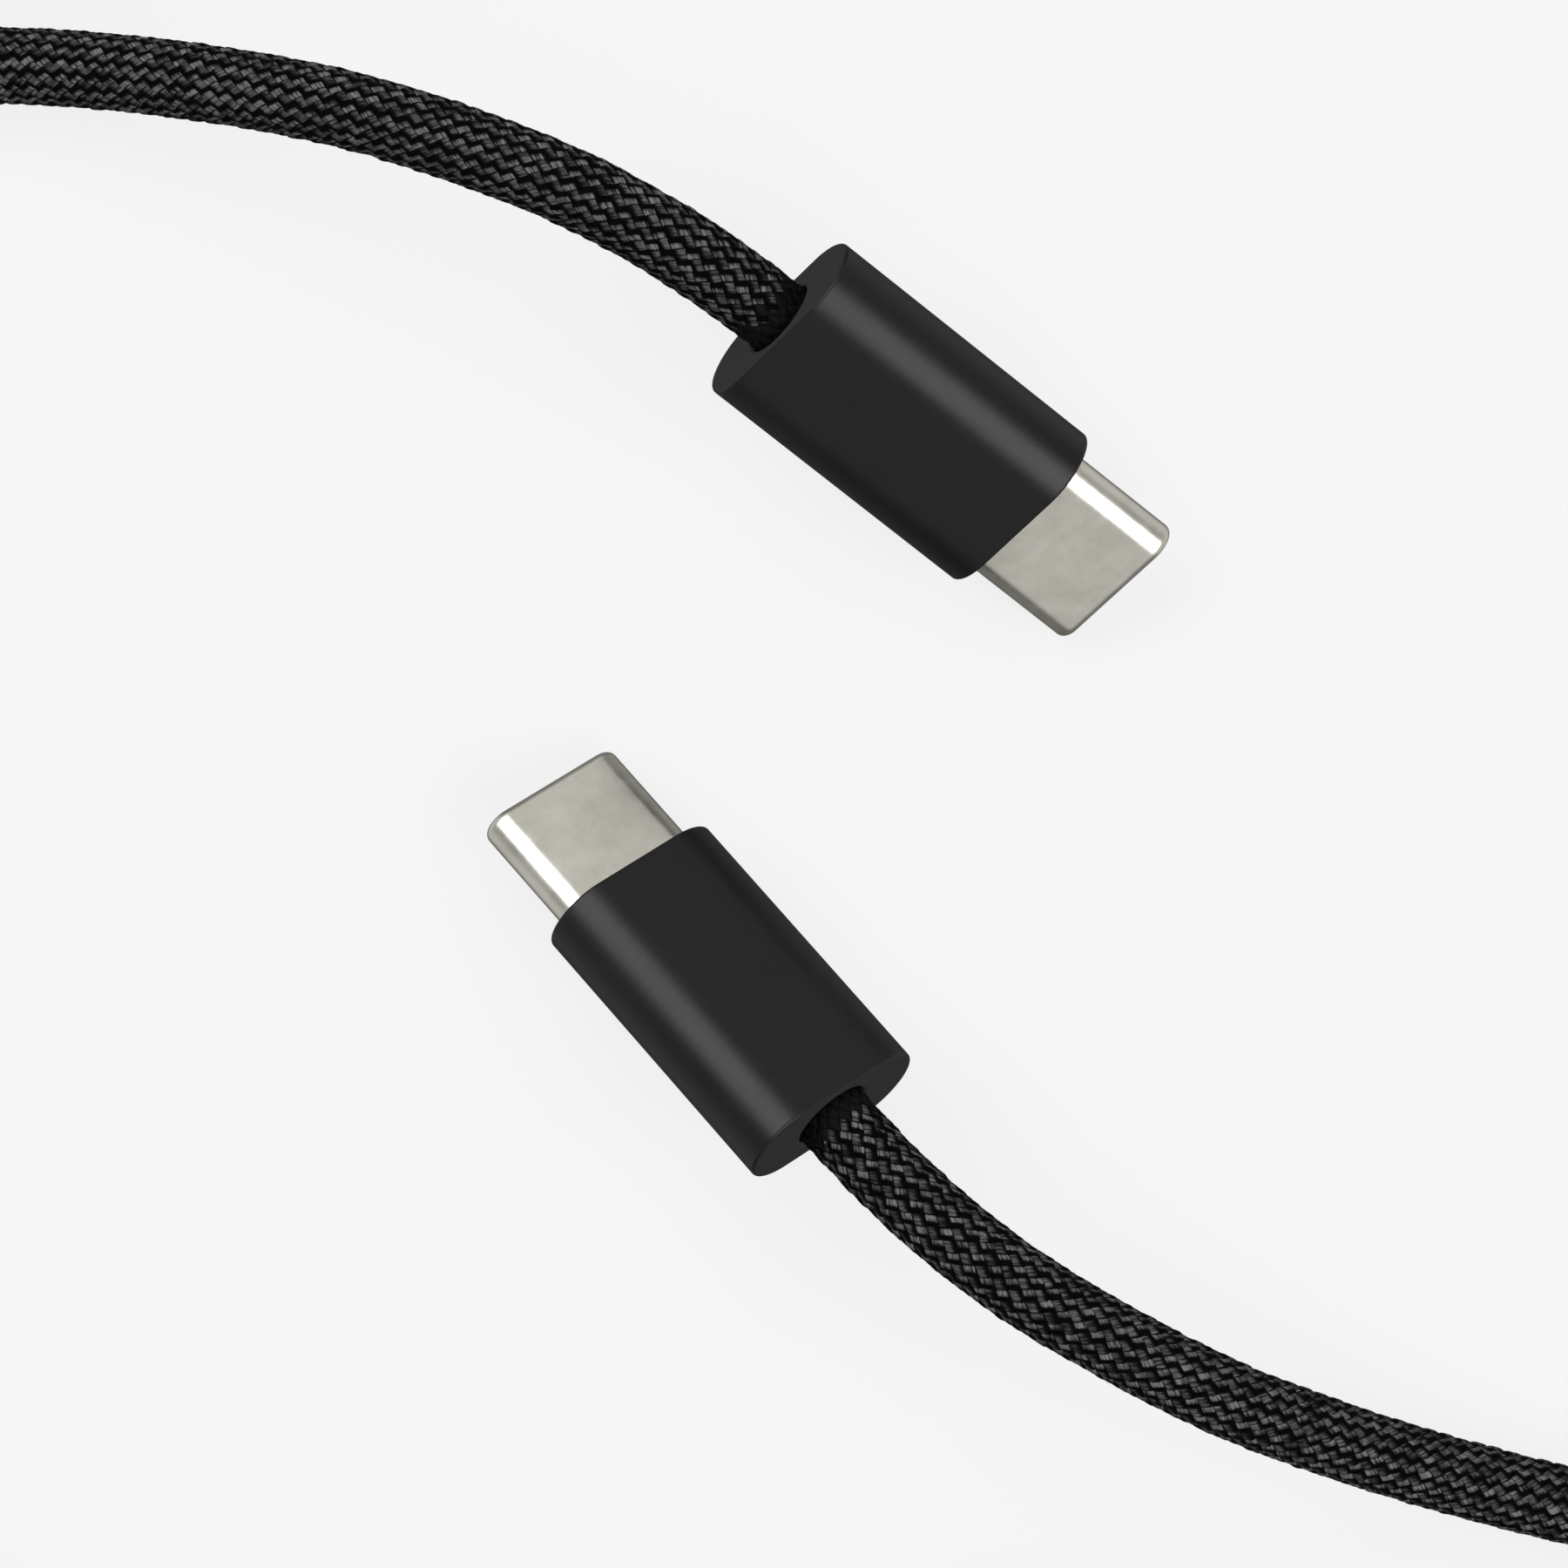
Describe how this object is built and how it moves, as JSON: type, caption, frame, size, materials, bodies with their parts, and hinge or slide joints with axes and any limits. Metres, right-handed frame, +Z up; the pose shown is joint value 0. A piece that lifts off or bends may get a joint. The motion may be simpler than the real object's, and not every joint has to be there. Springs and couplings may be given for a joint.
{
  "type": "charging cable",
  "caption": "Braided charging cable with the same reversible oval plug on both ends, its unseen length folded in a tied hank.",
  "frame": {"origin": "on the surface the cable lies on, below the middle of the two plugs' box", "axes": "+Z up; +Y along the plugs' longest extent, from the second plug towards the first; +X to the right seen from above"},
  "size_m": [0.1167, 0.1149, 0.014],
  "materials": {
    "housing_plastic": "satin",
    "collar_plastic": "matte",
    "shell_steel": "satin",
    "insulator_plastic": "matte",
    "contact_gold": "polished",
    "spring_steel": "satin",
    "board_resin": "satin",
    "chip_epoxy": "matte",
    "passive_ceramic": "matte",
    "solder_tin": "satin",
    "shield_steel": "satin",
    "ferrule_brass": "satin",
    "inner_jacket": "matte",
    "wire_red": "satin",
    "wire_green": "satin",
    "wire_white": "satin",
    "wire_black": "satin",
    "wire_blue": "satin",
    "mould_plastic": "satin",
    "cord_braid": "woven",
    "tie_fabric": "woven"
  },
  "bodies": {
    "root": {"cord_from_plug_a": "cord_braid", "cord_from_plug_b": "cord_braid", "cord_hank": "cord_braid", "hank_tie": "tie_fabric", "plug_a_board_passives": "passive_ceramic", "plug_a_cable_jacket_end": "inner_jacket", "plug_a_circuit_board": "board_resin", "plug_a_connector_shell": "shell_steel", "plug_a_contact_holder": "insulator_plastic", "plug_a_crimp_ferrule": "ferrule_brass", "plug_a_front_collar": "collar_plastic", "plug_a_front_insulator": "insulator_plastic", "plug_a_housing": "housing_plastic", "plug_a_left_latch": "spring_steel", "plug_a_lower_contacts": "contact_gold", "plug_a_lower_ground_spring": "spring_steel", "plug_a_lower_inner_mould": "mould_plastic", "plug_a_lower_shield": "shield_steel", "plug_a_marker_chip": "chip_epoxy", "plug_a_right_latch": "spring_steel", "plug_a_solder_joints": "solder_tin", "plug_a_upper_contacts": "contact_gold", "plug_a_upper_ground_spring": "spring_steel", "plug_a_upper_inner_mould": "mould_plastic", "plug_a_upper_shield": "shield_steel", "plug_a_wire_control": "wire_blue", "plug_a_wire_data_minus": "wire_white", "plug_a_wire_data_plus": "wire_green", "plug_a_wire_ground": "wire_black", "plug_a_wire_power": "wire_red", "plug_b_board_passives": "passive_ceramic", "plug_b_cable_jacket_end": "inner_jacket", "plug_b_circuit_board": "board_resin", "plug_b_connector_shell": "shell_steel", "plug_b_contact_holder": "insulator_plastic", "plug_b_crimp_ferrule": "ferrule_brass", "plug_b_front_collar": "collar_plastic", "plug_b_front_insulator": "insulator_plastic", "plug_b_housing": "housing_plastic", "plug_b_left_latch": "spring_steel", "plug_b_lower_contacts": "contact_gold", "plug_b_lower_ground_spring": "spring_steel", "plug_b_lower_inner_mould": "mould_plastic", "plug_b_lower_shield": "shield_steel", "plug_b_marker_chip": "chip_epoxy", "plug_b_right_latch": "spring_steel", "plug_b_solder_joints": "solder_tin", "plug_b_upper_contacts": "contact_gold", "plug_b_upper_ground_spring": "spring_steel", "plug_b_upper_inner_mould": "mould_plastic", "plug_b_upper_shield": "shield_steel", "plug_b_wire_control": "wire_blue", "plug_b_wire_data_minus": "wire_white", "plug_b_wire_data_plus": "wire_green", "plug_b_wire_ground": "wire_black", "plug_b_wire_power": "wire_red"}
  },
  "joints": []
}
